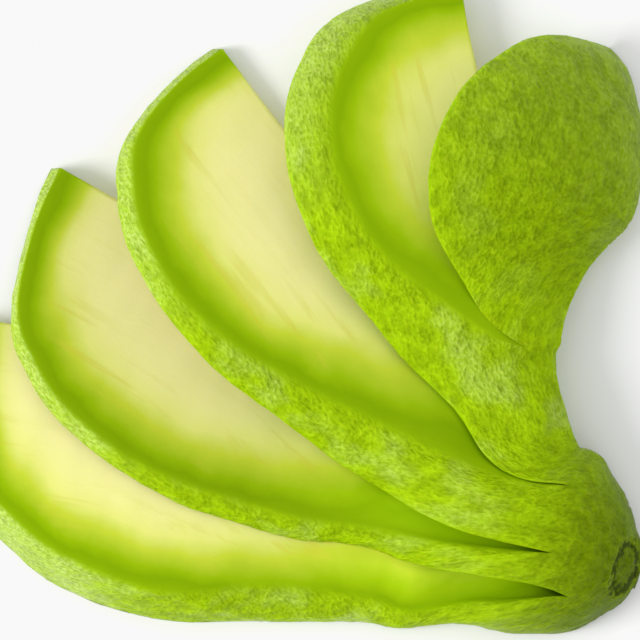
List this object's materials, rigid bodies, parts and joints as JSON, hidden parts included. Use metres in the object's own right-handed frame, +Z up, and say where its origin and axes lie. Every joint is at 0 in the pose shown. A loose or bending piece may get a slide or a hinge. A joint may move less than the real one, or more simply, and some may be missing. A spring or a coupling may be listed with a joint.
{
  "type": "sliced avocado half",
  "caption": "Peeled avocado half cut lengthwise into slices that stay joined at the stem end and lie fanned over one another.",
  "frame": {"origin": "middle of the outline in plan, on the surface that the fan lies on", "axes": "+Z up from that surface, +X to the right and +Y away from the viewer, with the stem end at +X -Y and the slices spreading to -X and +Y"},
  "size_m": [0.1038, 0.097, 0.0176],
  "materials": {
    "avocado_flesh": "moist cut flesh, green under the peel and pale yellow inside"
  },
  "bodies": {
    "root": {"avocado_fan": "avocado_flesh"}
  },
  "joints": []
}
